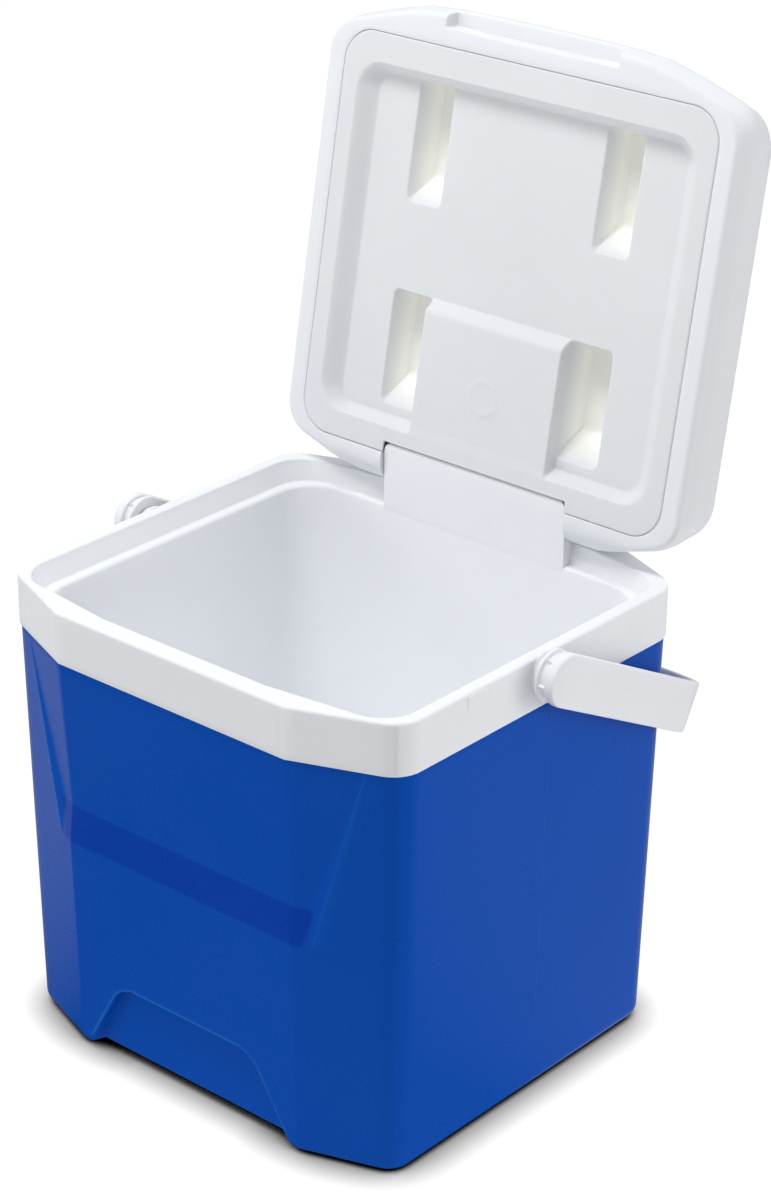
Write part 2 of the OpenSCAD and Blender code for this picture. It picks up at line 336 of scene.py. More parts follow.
SHELL_BLUE = (0.0, 0.073, 0.45)
SHELL_WORN = (0.001, 0.093, 0.48)
# painted shade for the step band and the kick recess walls; painted highlight along the kick recess edge
# and the sunk panel's side walls
SHELL_PAINTED_SHADE = (0.0, 0.047, 0.37)
SHELL_PAINTED_HIGHLIGHT = (0.01, 0.15, 0.56)
LINER_PALE = (0.875, 0.888, 0.915)
COVER_PALE = (0.785, 0.8, 0.83)
PANEL_PALE = (0.735, 0.748, 0.768)
BAIL_PALE = (0.85, 0.865, 0.895)
# lighter warm colour and emission in the lid's pockets: painted glow standing in for light through the
# thin plastic
POCKET_PAINTED_LIGHT = (0.83, 0.835, 0.79)
POCKET_GLOW = 0.1
PARTING_Y = 0.006


def plastic(name, base, worn, roughness, grain=0.25, glow=0.0, glow_tint=(1.0, 0.9, 0.75)):
    """Moulded plastic: fine spark-eroded grain, faint flow clouding, scuffed edges."""
    n = MaterialNodes(name)
    clouds = n.noise(9.0, 4.0, 0.6)
    fine = n.noise(900.0, 3.0, 0.6)
    pores = n.noise(2600.0, 2.0, 0.5)
    scuffs = n.noise(55.0, 6.0, 0.7, (1, 1, 3))
    tone = n.blend(n.span(clouds, 0.3, 0.7), tuple(c * 0.97 for c in base), base)
    edge = n.span(n.pointiness(), 0.525, 0.57)
    wear = n.math("MULTIPLY", edge, n.span(scuffs, 0.42, 0.62, 0.15, 0.8))
    n.link(n.blend(wear, tone, worn), n.bsdf.inputs["Base Color"])
    sheen = n.math("ADD", n.span(clouds, 0.3, 0.7, -0.03, 0.03), n.span(fine, 0.3, 0.7, -0.04, 0.04))
    n.link(n.math("ADD", sheen, roughness), n.bsdf.inputs["Roughness"])
    relief = n.bump(fine, grain, 0.0003)
    relief = n.bump(pores, grain * 0.6, 0.00012, relief)
    relief = n.bump(clouds, 0.02, 0.001, relief)
    n.link(relief, n.bsdf.inputs["Normal"])
    n.bsdf.inputs["IOR"].default_value = 1.49
    if glow:
        n.bsdf.inputs["Subsurface Weight"].default_value = glow
        n.bsdf.inputs["Subsurface Radius"].default_value = glow_tint
        n.bsdf.inputs["Subsurface Scale"].default_value = 0.006
    return n


def shell_material():
    """Blue plastic that reads the front marks: painted shade where they are above 0 and painted highlight
    where they are below 0.
    """
    n = plastic("shell_blue", SHELL_BLUE, SHELL_WORN, 0.26, 0.22)
    n.bsdf.inputs["Specular IOR Level"].default_value = 0.1
    mark = n.add("ShaderNodeAttribute", attribute_name="mark").outputs["Fac"]
    colour = n.bsdf.inputs["Base Color"]
    # painted shade where the mark is above 0, painted highlight where it is below 0
    dark = n.blend(mark, colour.links[0].from_socket, SHELL_PAINTED_SHADE)
    n.link(n.blend(n.math("MULTIPLY", mark, -1.0), dark, SHELL_PAINTED_HIGHLIGHT), colour)
    # a faint parting line down both sides, where the halves of the mould meet
    place = n.place()
    away = n.math("ABSOLUTE", n.math("SUBTRACT", place["Y"], PARTING_Y))
    line = n.span(away, 0.0, 0.0005, 1.0, 0.0)
    side = n.span(n.math("ABSOLUTE", place["X"]), 0.125, 0.13)
    old = n.bsdf.inputs["Normal"].links[0].from_socket
    n.link(n.bump(n.math("MULTIPLY", line, side), 0.5, 0.0003, old), n.bsdf.inputs["Normal"])
    return n.mat


def foam_material():
    n = MaterialNodes("foam")
    cells = n.add("ShaderNodeTexVoronoi")
    cells.inputs["Scale"].default_value = 700.0
    n.link(n.coord, cells.inputs["Vector"])
    n.link(n.blend(n.noise(30.0), (0.72, 0.6, 0.33), (0.8, 0.7, 0.45)), n.bsdf.inputs["Base Color"])
    n.bsdf.inputs["Roughness"].default_value = 0.85
    n.link(n.bump(cells.outputs["Distance"], 0.6, 0.0006), n.bsdf.inputs["Normal"])
    return n.mat


def panel_material():
    """The lid's panel is thin and a little translucent; its pockets get a lighter warm colour and a faint
    emission, painted glow that stands in for light through the thin plastic.
    """
    n = plastic("panel_white", PANEL_PALE, (0.8, 0.81, 0.82), 0.44, 0.2, 0.2)
    deep = n.add("ShaderNodeAttribute", attribute_name="mark").outputs["Fac"]
    socket = n.bsdf.inputs["Base Color"]
    before = socket.links[0].from_socket
    # painted glow mask: lighter colour and emission, stronger the deeper the pocket
    pocket_glow_mask = n.span(deep, 0.32, 0.8)
    n.link(n.blend(pocket_glow_mask, before, POCKET_PAINTED_LIGHT), socket)
    n.bsdf.inputs["Emission Color"].default_value = (1.0, 0.99, 0.93, 1.0)
    n.link(n.math("MULTIPLY", pocket_glow_mask, POCKET_GLOW), n.bsdf.inputs["Emission Strength"])
    return n.mat


SHELL = shell_material()
LINER = plastic("liner_white", LINER_PALE, (0.9, 0.91, 0.92), 0.32, 0.2, 0.12).mat
COVER = plastic("lid_white", COVER_PALE, (0.84, 0.85, 0.86), 0.36, 0.25, 0.1).mat
PANEL = panel_material()
BAIL = plastic("bail_white", BAIL_PALE, (0.87, 0.88, 0.89), 0.32, 0.2, 0.1).mat
PLUG = plastic("plug_grey", (0.6, 0.62, 0.64), (0.7, 0.7, 0.71), 0.45, 0.3).mat
PIN = plastic("pin_grey", (0.55, 0.57, 0.6), (0.62, 0.62, 0.64), 0.3, 0.15).mat
FOAM = foam_material()

for node_name, material in (("foam_fill_plug", PLUG), ("hinge_pins", PIN), ("body_insulation", FOAM)):
    cad = frame["nodes"][node_name]
    cad.data.materials.clear()
    cad.data.materials.append(material)


# ---- blue shell ------------------------------------------------------------------------

def sunk(z):
    """How far the upper front panel lies behind the rest of the body at a height."""
    up = (z - STEP_FOOT_Z) / (STEP_Z - STEP_FOOT_Z)
    down = (COLLAR_Z - z) / (COLLAR_Z - STEP_Z)
    return PANEL_SUNK * max(float(soft_min(up, down, 0.06)), 0.0)


def crease_x(z):
    """Half width of the sunk panel at a height, to the outer edge of its side walls."""
    t = min(max((z - STEP_FOOT_Z) / (COLLAR_Z - STEP_FOOT_Z), 0.0), 1.0)
    return PANEL_FOOT + (PANEL_TOP - PANEL_FOOT) * t


def kick_distance(x, z):
    """Distance to the outline of the kick recess, negative inside it."""
    lean = (KICK_HALF_FOOT - KICK_HALF_TOP) / KICK_TOP
    side = (np.abs(x) - KICK_HALF_FOOT + lean * z) / math.hypot(1.0, lean)
    top = z - KICK_TOP
    r = 9.0
    a = top + r
    b = side + r
    return np.minimum(np.maximum(a, b), 0.0) + np.hypot(np.maximum(a, 0.0), np.maximum(b, 0.0)) - r


def kick_amount(x, z):
    """0 outside the kick recess and 1 on its floor."""
    return ease((0.3 - kick_distance(x, z)) / 1.5)


def front_relief(points, plan, z):
    """Outline of the body at a height with the sunk panel and the kick recess pressed into it."""
    x = points[:, 0]
    y = points[:, 1].copy()
    ax = np.abs(x)
    fore = y < -90.0
    depth = sunk(z)
    edge = crease_x(z)
    wall_y = plan["yf"] + (edge - plan["xc"]) * plan["drop_f"] / (plan["hw"] - plan["xc"])
    lower = soft_min(y + depth, np.maximum(wall_y, y), max(0.5 * min(depth, 1.4), 0.002))
    y = np.where(fore & (ax < edge), np.maximum(lower, y), y)
    kick = np.where(fore & (ax < 90.0), kick_amount(x, z), 0.0)
    y = y + KICK_DEPTH * kick
    height = np.full(len(x), float(z))
    lift = np.where(points[:, 1] < BODY_FOOT["yf"] + 20.0, kick_amount(x, 4.0), 0.0)
    lift = np.where(ax < 90.0, lift, 0.0)
    return np.c_[x, y, np.maximum(height, FOOT_RISE * lift)]


def shell_ring(z, inset):
    """Outline of the body at a height, with columns that follow the edges of the sunk panel."""
    plan = shrink(mix(BODY_FOOT, BODY_TOP, np.clip(z / COLLAR_Z, 0.0, 1.0)), inset)
    slope = plan["drop_f"] / (plan["hw"] - plan["xc"])
    outer = float(crease_x(z)) - inset * 0.3
    wall = max(sunk(z) / slope, 0.6)
    inner = max(outer - wall, plan["xc"] + 1.5)
    half = min(0.35 * (outer - inner), 1.2)

    def facet_x(x_end):
        stops = [(x_end, outer + 0.5, 6), (outer + 0.5, outer - half, 8), (outer - half, inner + half, 4),
                 (inner + half, inner - 1.2, 8), (inner - 1.2, plan["xc"], 8)]
        return np.concatenate([np.linspace(a, b, n + 1)[1:] for a, b, n in stops])

    reach = plan["xc"] / BODY_TOP["xc"]
    front_x = np.linspace(-83.7, 83.7, 141)[1:-1] * reach
    rear_x = np.linspace(-83.7, 83.7, 25)[1:-1] * reach
    return front_relief(ring(plan, front_x, rear_x, facet_x), plan, z)


def build_shell():
    """Lofted from the recessed underside, round the foot and up to the collar."""
    rings = []
    for z, inset in ((FOOT_RISE, FOOT_INNER), (FOOT_RISE, 15.6), (FOOT_RISE - 0.8, 15.0),
                     (0.8, 14.2), (0.0, 13.4), (0.0, 9.0)):
        rings.append(shell_ring(z, inset))
    for s, c in quarter(8):
        rings.append(shell_ring(FOOT_ROUND * (1 - c), FOOT_ROUND * (1 - s)))
    levels = np.concatenate([
        np.arange(8.5, 57.0, 1.0), np.linspace(60.0, 130.0, 24), np.arange(131.0, 163.1, 1.0),
        np.linspace(167.0, 245.0, 28)])
    for z in levels:
        rings.append(shell_ring(z, 0.0))
    for z, inset in ((248.0, 0.0), (248.5, 0.3), (248.7, 1.2), (248.7, 8.0)):
        rings.append(shell_ring(z, inset))
    return loft(rings)


def centre_foot():
    """Boss in the middle of the underside, round the foam plug, and the recessed floor round it."""
    turn = np.linspace(0.0, 2 * math.pi, 65)[:-1]
    rings = []
    profile = [(FOOT_RISE + 2.0, PLUG_R + 0.2), (0.6, PLUG_R + 0.2), (0.0, PLUG_R + 0.8),
               (0.0, PLUG_R + 7.2), (0.6, PLUG_R + 8.0), (FOOT_RISE - 1.0, PLUG_R + 8.6),
               (FOOT_RISE, PLUG_R + 10.0)]
    for z, r in profile:
        rings.append(np.c_[r * np.cos(turn), r * np.sin(turn), np.full(64, z)])
    boss = loft(rings)
    edge = shell_ring(FOOT_RISE, FOOT_INNER)
    t = np.arctan2(edge[:, 1], edge[:, 0])
    hole = np.c_[(PLUG_R + 10.0) * np.cos(t), (PLUG_R + 10.0) * np.sin(t), np.full(len(t), FOOT_RISE)]
    floor = loft([hole, edge])
    return merge(boss, floor)


def front_painted_light(verts):
    """Painted light on the front: above 0 is painted shade on the step band and the kick recess walls,
    below 0 is a painted highlight along the kick recess edge and a painted lighter strip along the sunk
    panel's side walls.
    """
    ax = np.abs(verts[:, 0])
    z = verts[:, 2]
    fore = verts[:, 1] < -90.0
    up = np.clip((z - STEP_FOOT_Z) / (COLLAR_Z - STEP_FOOT_Z), 0.0, 1.0)
    edge = PANEL_FOOT + (PANEL_TOP - PANEL_FOOT) * up
    soft = 1.6
    # painted shade on the step band below the sunk panel
    step = ease((z - STEP_FOOT_Z) / soft) * ease((STEP_Z - z) / soft) * ease((edge - 4.0 - ax) / 3.0)
    kick = kick_amount(ax, z)
    # painted shade on the kick recess walls
    wall = np.minimum(4.0 * kick * (1.0 - kick), 1.0)
    # painted highlight just outside the kick recess edge
    kick_highlight = np.exp(-((kick_distance(ax, z) - 0.9) / 0.8) ** 2) * ease((z - 6.0) / 6.0)
    # painted lighter strip along the sunk panel's side walls
    crease = 0.25 * np.exp(-((ax - edge) / 0.8) ** 2) * ease(up / 0.05)
    return (step + wall - np.maximum(kick_highlight * (1.0 - wall), crease)) * fore


shell_shape = merge(build_shell(), centre_foot())
# the shell's mark attribute holds painted shade and painted highlight
shell = add_mesh("shell_skin", shell_shape, SHELL, "chest", marks=front_painted_light(shell_shape[0]))
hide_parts("outer_shell")


# ---- liner, rim and collar -------------------------------------------------------------

def liner_ring(plan, z, inset=0.0):
    plan = shrink(plan, inset)
    x = np.linspace(-plan["xc"], plan["xc"], 21)[1:-1]
    return at_height(ring(plan, x, x), z)


def build_liner():
    """Lofted from the collar's foot up, over the rim and ledge, and down to the cavity floor."""
    rings = [liner_ring(COLLAR, COLLAR_Z + 1.0, 7.0), liner_ring(COLLAR, COLLAR_Z, 6.0),
             liner_ring(COLLAR, COLLAR_Z, 0.7), liner_ring(COLLAR, COLLAR_Z + 0.25, 0.2),
             liner_ring(COLLAR, COLLAR_Z + 0.8, 0.0)]
    for z in np.linspace(253.0, 277.5, 8):
        rings.append(liner_ring(COLLAR, z))
    top_r = 1.6
    for s, c in quarter(5):
        rings.append(liner_ring(COLLAR, RIM_Z - top_r * (1 - s), top_r * (1 - c)))
    for t in (0.25, 0.5, 0.75):
        rings.append(liner_ring(mix(shrink(COLLAR, top_r), RIM_IN, t), RIM_Z))
    in_r = 1.3
    for s, c in quarter(5):
        rings.append(liner_ring(RIM_IN, RIM_Z - in_r * (1 - c), in_r * (s - 1)))
    ledge_r = 1.2
    wall_top = RIM_Z - in_r
    wall_foot = LEDGE_Z + ledge_r
    for t in (0.35, 0.7, 0.9):
        rings.append(liner_ring(mix(RIM_IN, LEDGE_OUT, t), wall_top + (wall_foot - wall_top) * t))
    for s, c in quarter(4):
        rings.append(liner_ring(LEDGE_OUT, LEDGE_Z + ledge_r * (1 - s), ledge_r * (1 - c)))
    lip_r = 2.0
    for t in (0.3, 0.65):
        rings.append(liner_ring(mix(shrink(LEDGE_OUT, ledge_r), shrink(TUB_TOP, -lip_r), t), LEDGE_Z))
    for s, c in quarter(5):
        rings.append(liner_ring(TUB_TOP, LEDGE_Z - lip_r * (1 - c), lip_r * (s - 1)))
    fillet = 13.0
    z_low = FLOOR_Z + fillet
    for z in np.linspace(LEDGE_Z - lip_r - 2.0, z_low, 16):
        rings.append(liner_ring(mix(TUB_FLOOR, TUB_TOP, (z - FLOOR_Z) / (LEDGE_Z - FLOOR_Z)), z))
    for s, c in quarter(6)[1:]:
        z = z_low - fillet * s
        rings.append(liner_ring(mix(TUB_FLOOR, TUB_TOP, (z - FLOOR_Z) / (LEDGE_Z - FLOOR_Z)), z,
                                fillet * (1 - c)))
    return loft(rings, close_last=True)


def arc_points(cy, cz, r, start, end, steps):
    a = np.radians(np.linspace(start, end, steps + 1))
    return [(cy + r * math.cos(t), cz + r * math.sin(t)) for t in a]


def build_tab():
    """Hinge block, with its two upper ends rounded."""
    r = 2.6
    end_r = 5.5
    low = LEDGE_Z - 12.0
    profile = [(TAB_FRONT, low), (TAB_BACK, low), (TAB_BACK, low + 3.0), (TAB_BACK, HINGE_Z - 3.0)]
    profile += arc_points(HINGE_Y, HINGE_Z, TAB_BACK - HINGE_Y, 0.0, 78.0, 12)
    profile += arc_points(TAB_FRONT + r, TAB_TOP - r, r, 90.0, 180.0, 6)
    profile += [(TAB_FRONT, z) for z in np.linspace(TAB_TOP - r - 2.5, low + 3.0, 8)]
    profile = np.asarray(profile)
    end = []
    for a in np.radians(np.linspace(0.0, 90.0, 8)):
        end.append((TAB_HALF - end_r * (1.0 - math.cos(a)), TAB_TOP - end_r * (1.0 - math.sin(a))))
    flat = TAB_HALF - end_r - 3.5
    middle = [(x, TAB_TOP) for x in np.linspace(-flat, flat, 24)]
    stations = [(-x, top) for x, top in end] + middle + end[::-1]
    shapes = []
    for x, top in stations:
        shapes.append(np.c_[np.full(len(profile), x), profile[:, 0], np.minimum(profile[:, 1], top)])
    return loft(shapes, close_first=True, close_last=True)


def disc_x(y, z, stations, steps=64):
    """Turned shape about an axis along X from (x, radius) stations, closed at both ends."""
    turn = np.linspace(0.0, 2 * math.pi, steps + 1)[:-1]
    rings = []
    for x, r in stations:
        rings.append(np.c_[np.full(steps, x), y + r * np.cos(turn), z + r * np.sin(turn)])
    return loft(rings, close_first=True, close_last=True)


def side_rib(y0, y1, z0, z1):
    """Low rounded pad on the collar's side."""
    out = 0.7
    x = COLLAR["hw"]
    rings = []
    for px, inset in ((x - 1.0, 0.0), (x, 0.0), (x + out * 0.8, 0.8), (x + out, 1.6)):
        r = 1.8
        fore = y0 + inset + r
        aft = y1 - inset - r
        low = z0 + inset + r
        high = z1 - inset - r
        loop = arc_points(aft, high, r, 0, 90, 4) + arc_points(fore, high, r, 90, 180, 4)
        loop += arc_points(fore, low, r, 180, 270, 4) + arc_points(aft, low, r, 270, 360, 4)
        loop = np.asarray(loop)
        rings.append(np.c_[np.full(len(loop), px), loop])
    return loft(rings, close_last=True)


liner = add_mesh("liner_skin", build_liner(), LINER, "chest")
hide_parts("inner_liner")
tab = add_mesh("hinge_tab_skin", build_tab(), LINER, "chest", bevel=1.3)
boss = disc_x(PIVOT_Y, PIVOT_Z, [(143.0, 11.0), (145.2, 11.0), (146.2, 9.6), (149.0, 9.2), (149.6, 8.6)])
boss = merge(boss, side_rib(-66.0, -48.0, 270.5, 278.8))
bosses = add_mesh("pivot_bosses", merge(boss, flip_x(boss)), LINER, "chest")


# ---- lid -------------------------------------------------------------------------------

def box_distance(x, y, hw, yf, yr, r):
    """Signed distance to a rounded rectangle, negative inside."""
    cy = (yf + yr) / 2
    a = np.abs(x) - hw + r
    b = np.abs(y - cy) - (yr - yf) / 2 + r
    return np.hypot(np.maximum(a, 0), np.maximum(b, 0)) + np.minimum(np.maximum(a, b), 0) - r


def lines(low, high, step, keys):
    """Grid lines with extra ones close to each key position."""
    pts = list(np.arange(low, high, step)) + [high]
    for key, reach in keys:
        pts += list(np.linspace(key - reach, key + reach, 9))
    pts = np.unique(np.round([p for p in pts if low <= p <= high], 2))
    keep = [pts[0]]
    for p in pts[1:]:
        if p - keep[-1] > 0.22:
            keep.append(p)
    keep[-1] = high
    return np.array(keep)


def well(x, y, x0, x1, y0, y1, depth, ramp_low, ramp_high, wall=4.2, r=5.0):
    """Depth of a pocket whose low-y and high-y ends slope over the given lengths."""
    d = box_distance(x - (x0 + x1) / 2, y, (x1 - x0) / 2, y0, y1, r)
    side = ease((0.5 - d) / wall)
    low = np.clip((y - y0) / ramp_low, 0.0, 1.0)
    high = np.clip((y1 - y) / ramp_high, 0.0, 1.0)
    ends = soft_min(low, high, 0.08)
    return depth * np.maximum(np.minimum(side, ends), 0.0)


def panel_depth(x, y):
    """How far each point of the panel lies inside the closed lid."""
    ax = np.abs(x)
    outer = box_distance(x, y, 121.0, -103.6, 104.5, 18.0)
    inner = box_distance(x, y, 110.0, -97.6, 98.6, 10.0)
    t = np.clip(-outer / np.maximum(inner - outer, 1e-3), 0.0, 1.0)
    t = np.where(inner <= 0, 1.0, t)
    floor = PANEL_SINK * (0.35 * ease(t) + 0.65 * t)
    pad = ease((51.5 - ax) / 2.0) * np.clip((y - 23.5) / 6.5, 0.0, 1.0)
    floor = floor * (1.0 - 0.93 * pad)
    fore = well(ax, y, 55.0, 80.0, -98.0, -27.5, POCKET_DEPTH, 3.0, 15.0)
    rear = well(ax, y, 50.0, 80.0, 24.0, 93.0, POCKET_DEPTH, 3.0, 17.0)
    ring_d = np.abs(np.hypot(x, y - 70.4) - 9.6)
    mark = 0.55 * ease((1.3 - ring_d) / 0.9)
    rim = box_distance(x, y, *PANEL_EDGE)
    lip = 1.1 * (1.0 - np.sqrt(np.clip(1.0 - np.clip((rim + 1.1) / 1.1, 0.0, 1.0) ** 2, 0.0, 1.0)))
    return floor + fore + rear - mark + lip


def build_panel():
    """Grid over the panel, with lines crowded at its edges, and the relative depth of each point."""
    hw, yf, yr, r = PANEL_EDGE
    xs = lines(0.0, hw, 1.6, [(50.5, 2.4), (55.5, 1.8), (79.5, 1.8), (121, 1.5), (110, 1.5), (131.9, 0.7),
                              (67.9, 0.8)])
    xs = np.concatenate([-xs[::-1][:-1], xs])
    ys = lines(yf, yr, 1.6, [(-119.9, 0.7), (-103.6, 1.5), (-97.6, 1.8), (-27.5, 1.8), (24.5, 3.0),
                             (92.5, 1.8), (98.6, 1.5), (104.5, 1.5), (119.2, 0.7)])
    gx, gy = np.meshgrid(xs, ys)
    x = gx.ravel().copy()
    y = gy.ravel().copy()
    cy = (yf + yr) / 2
    ex = np.abs(x) - (hw - r)
    ey = np.abs(y - cy) - ((yr - yf) / 2 - r)
    out = (ex > 0) & (ey > 0)
    far = np.hypot(ex, ey)
    reach = np.maximum(ex, ey)
    scale = np.where(out & (far > 0), reach / np.maximum(far, 1e-6), 1.0)
    x = np.where(out, np.sign(x) * (hw - r + ex * scale), x)
    y = np.where(out, cy + np.sign(y - cy) * ((yr - yf) / 2 - r + ey * scale), y)
    tongue = (np.abs(x) < NOTCH_HALF - 0.1) & (y > PANEL_BACK)
    y = np.where(tongue, PANEL_BACK + (y - PANEL_BACK) * 0.03, y)
    z = LID_Z + panel_depth(x, y)
    z = np.where(tongue, LID_Z + 1.4 * ease((gy.ravel() - PANEL_BACK) / 4.0), z)
    n = len(xs)
    faces = []
    for i in range(len(ys) - 1):
        a = i * n + np.arange(n - 1)
        faces += np.stack([a, a + n, a + n + 1, a + 1], axis=-1).tolist()
    return (swing_lid(np.c_[x, y, z]), faces), (z - LID_Z) / (PANEL_SINK + POCKET_DEPTH)


def lid_plan(side, front, rear, narrow, r=21.0):
    return dict(hw=146.4 - side, yf=-140.9 + front, yr=rear, xc=83.7 - narrow,
                drop_f=LID_DROP, drop_r=LID_DROP, r=r)


FRONT_X = np.concatenate([np.linspace(-76.0, -62.5, 6), np.linspace(-61.8, -58.2, 10),
                          np.linspace(-57.0, 57.0, 39), np.linspace(58.2, 61.8, 10),
                          np.linspace(62.5, 76.0, 6)])
REAR_X = np.concatenate([[-74.0, -71.0], np.linspace(-68.6, -67.4, 7), np.linspace(-64.0, 64.0, 27),
                         np.linspace(67.4, 68.6, 7), [71.0, 74.0]])


def lid_ring(plan, z, inset=0.0):
    """One ring of the closed cover, with the finger recess, the tab notch and the round heel."""
    v = at_height(ring(shrink(plan, inset), FRONT_X, REAR_X), z)
    ax = np.abs(v[:, 0])
    wall = np.clip((-v[:, 1] - 124.0) / 12.0, 0.0, 1.0)
    crown = 1.0 - np.minimum(ax / 80.0, 1.0) ** 2 - 1.3 * np.exp(-((ax - 84.0) / 15.0) ** 2)
    v[:, 1] -= crown * wall
    y = v[:, 1]
    lift = FINGER_RISE * ease((FINGER_HALF + 1.6 - ax) / 3.2) * ease((FINGER_Y + 0.9 - y) / 1.6)
    v[:, 2] = np.maximum(v[:, 2], LID_Z + lift)
    dy = v[:, 1] - HINGE_Y
    dz = v[:, 2] - HINGE_Z
    far = np.hypot(dy, dz)
    heel = (dy > 0) & (dz < 0) & (far > HEEL_R)
    pull = np.where(heel, HEEL_R / np.maximum(far, 1e-6), 1.0)
    v[:, 1] = HINGE_Y + dy * pull
    v[:, 2] = HINGE_Z + dz * pull
    inside = ease((NOTCH_HALF + 0.4 - ax) / 0.8) * (y > NOTCH_Y)
    v[:, 2] = np.maximum(v[:, 2], LID_Z + (NOTCH_TOP - LID_Z) * inside)
    return v


def seam_plan(grow):
    return dict(hw=132.75 + grow, yf=-120.75 - grow, yr=120.05 + grow, xc=76.5, drop_f=0.0, drop_r=0.0,
                r=20.0 + min(grow, 0.0))


def build_cover():
    """Lofted from a hidden plate inside the lid, out under its edge, up its walls and over the top."""
    hidden = LID_Z + LID_HIDDEN
    rings = [lid_ring(seam_plan(-13.0), hidden), lid_ring(seam_plan(-11.6), hidden),
             lid_ring(seam_plan(-11.2), hidden), lid_ring(seam_plan(-0.4), hidden),
             lid_ring(seam_plan(0.0), LID_Z + 2.0), lid_ring(seam_plan(0.0), LID_Z + 0.9),
             lid_ring(seam_plan(0.3), LID_Z + 0.25), lid_ring(seam_plan(1.0), LID_Z)]
    edge_r = 3.6
    foot = lid_plan(0.9, 1.9, 139.0, 0.4)
    flat = shrink(foot, edge_r)
    for t in (0.3, 0.52, 0.6, 0.63, 0.66, 0.69, 0.72, 0.77, 0.88):
        rings.append(lid_ring(mix(seam_plan(1.0), flat, t), LID_Z))
    for s, c in quarter(7):
        rings.append(lid_ring(foot, LID_Z + edge_r * (1 - c), edge_r * (1 - s)))
    walls = [(5.5, lid_plan(0.6, 1.4, 138.9, 0.3)), (8.0, lid_plan(0.3, 0.8, 138.7, 0.2)),
             (10.5, lid_plan(0.1, 0.2, 138.4, 0.0)), (13.5, lid_plan(0.0, -0.2, 137.9, 0.0)),
             (17.0, lid_plan(0.3, 0.4, 137.3, 0.6)), (24.0, lid_plan(1.1, 3.2, 136.4, 2.5)),
             (LID_H - 14, lid_plan(1.6, 5.8, 135.4, 4.0)), (LID_H - 10, lid_plan(2.9, 9.0, 134.2, 5.5)),
             (LID_H - 6, lid_plan(5.5, 14.0, 132.0, 6.0)), (LID_H - 3, lid_plan(9.5, 20.0, 129.0, 6.6)),
             (LID_H - 1, lid_plan(14.5, 26.0, 125.0, 7.0)), (LID_H, lid_plan(20.0, 33.0, 121.0, 7.5)),
             (LID_H + 0.4, lid_plan(30.0, 43.0, 112.0, 7.7))]
    for h, plan in walls:
        rings.append(lid_ring(plan, LID_Z + h))
    top_edge = rings[-1]
    middle = np.array([0.0, -5.0, LID_Z + LID_H + 0.4])
    for t in (0.2, 0.4, 0.6, 0.8, 0.95):
        rings.append(middle + (top_edge - middle) * (1.0 - t))
    verts, faces = loft(rings, close_first=True, close_last=True)
    return swing_lid(verts), faces


panel_shape, panel_depths = build_panel()
panel = add_mesh("panel_skin", panel_shape, PANEL, "lid", sharp=60.0, marks=panel_depths)
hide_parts("lid_inner_panel")
cover = add_mesh("cover_skin", build_cover(), COVER, "lid", sharp=40.0)
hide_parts("lid_cover")


# ---- handle ----------------------------------------------------------------------------

def bail_to_row(x, along, across):
    """From the handle's own plane (reach, width) to the parked handle in the row frame."""
    y = PIVOT_Y + along * math.cos(PARK) + across * math.sin(PARK)
    z = PIVOT_Z - along * math.sin(PARK) + across * math.cos(PARK)
    return np.c_[x, y, z]


def band_path():
    """Stations (x, reach, direction out of the band, half width) for the right half."""
    out = []
    for a in np.radians(np.linspace(-90.0, 0.0, 15)):
        along = BAND_HALF * math.sin(a)
        out.append((ARM_OUT, along, 0.0, max(BAND_HALF * math.cos(a), 0.25)))
    bend_at = REACH - BEND_R
    x_bend = ARM_OUT - ARM_LEAN * bend_at
    for t in np.linspace(0.0, 1.0, 16)[1:-1]:
        out.append((ARM_OUT - ARM_LEAN * bend_at * t, bend_at * t, 0.0, BAND_HALF))
    for a in np.radians(np.linspace(0.0, 90.0, 19)):
        out.append((x_bend - BEND_R + BEND_R * math.cos(a), bend_at + BEND_R * math.sin(a), a, BAND_HALF))
    for x in np.linspace(x_bend - BEND_R, 0.0, 14)[1:]:
        out.append((x, REACH, math.pi / 2, BAND_HALF))
    return out


def band_section(half, thick):
    """Rounded cross-section as (depth behind the outer face, across) pairs."""
    r = min(1.4, half * 0.9, thick * 0.45)
    pts = arc_points(thick - r, half - r, r, 0, 90, 4) + arc_points(r, half - r, r, 90, 180, 4)
    pts += arc_points(r, -half + r, r, 180, 270, 4) + arc_points(thick - r, -half + r, r, 270, 360, 4)
    return pts


def build_band():
    stations = band_path()
    mirrored = [(-x, along, math.pi - a, half) for x, along, a, half in stations[::-1][1:]]
    rings = []
    for x, along, a, half in stations + mirrored:
        section = np.asarray(band_section(half, ARM_T - 0.4))
        depth = section[:, 0]
        across = section[:, 1]
        rings.append(bail_to_row(x - depth * math.cos(a), along - depth * math.sin(a), across))
    return loft(rings, close_first=True, close_last=True)


